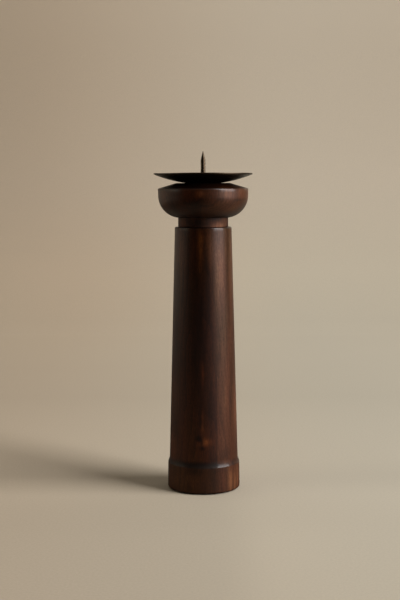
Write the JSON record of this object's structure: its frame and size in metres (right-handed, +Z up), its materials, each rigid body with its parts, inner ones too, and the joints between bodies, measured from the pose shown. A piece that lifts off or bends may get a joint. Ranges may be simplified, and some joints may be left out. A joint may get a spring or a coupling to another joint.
{
  "type": "pricket candle stand",
  "caption": "Tall pricket candle stand: tapered turned-wood column on a banded foot, bowl-shaped capital, and a dished metal drip pan that lifts off over a pointed spike.",
  "frame": {"origin": "middle of the foot, on the surface that the stand rests on", "axes": "+Z up along the lathe axis, towards the spike's point; the stand is round, so +X and +Y are free"},
  "size_m": [0.09, 0.09, 0.3105],
  "materials": {
    "stained_wood": "dark brown stain under satin lacquer",
    "beech": "bare, sanded",
    "brass": "turned",
    "black_steel": "satin black",
    "felt": "pressed felt"
  },
  "bodies": {
    "stand": {"column": "stained_wood", "capital": "stained_wood", "joining_dowel": "beech", "threaded_insert": "brass", "pricket_spike": "black_steel", "felt_pad": "felt"},
    "pan": {"drip_pan": "black_steel"}
  },
  "joints": [
    {"name": "pan_lift", "type": "slide", "parent": "stand", "child": "pan", "axis": [0, 0, 1], "range_m": [0, 0.04]}
  ]
}
